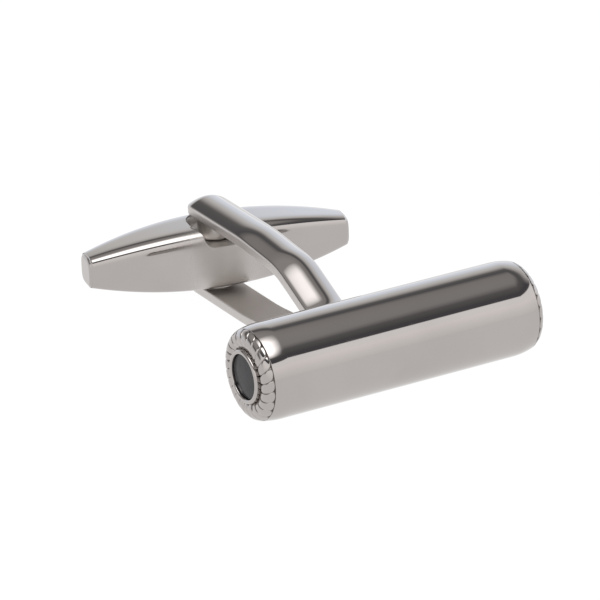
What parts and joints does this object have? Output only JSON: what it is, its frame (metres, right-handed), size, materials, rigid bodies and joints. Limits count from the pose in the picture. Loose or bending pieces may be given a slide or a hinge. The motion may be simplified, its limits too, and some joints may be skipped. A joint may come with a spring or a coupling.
{
  "type": "swivel-back cufflink",
  "caption": "Polished bar cufflink with gadrooned ends and dark inlays; a two-armed fork carries a torpedo toggle that swivels to pass a cuff's buttonholes.",
  "frame": {"origin": "middle of the whole part's footprint, at its lowest level", "axes": "+X along the bar, +Y from the bar to the toggle, +Z along the pivot pin"},
  "size_m": [0.02, 0.026, 0.007],
  "materials": {
    "plated_bar": "mirror polish",
    "plated_cap": "mirror polish",
    "plated_bezel": "mirror polish",
    "plated_fork": "mirror polish",
    "plated_toggle": "mirror polish",
    "inlay": "gloss",
    "steel": "drawn"
  },
  "bodies": {
    "link": {"bar_tube": "plated_bar", "left_end_cap": "plated_cap", "right_end_cap": "plated_cap", "left_bezel": "plated_bezel", "right_bezel": "plated_bezel", "left_inlay": "inlay", "right_inlay": "inlay", "upper_arm": "plated_fork", "lower_arm": "plated_fork", "pivot_pin": "steel"},
    "toggle": {"toggle_body": "plated_toggle", "detent_ball": "steel", "detent_spring": "steel", "toggle_plug": "plated_toggle"}
  },
  "joints": [
    {"name": "toggle_swivel", "type": "hinge", "parent": "link", "child": "toggle", "pos_m": [-0.0006, 0.01039, 0.0034], "axis": [0, 0, 1], "continuous": true}
  ]
}
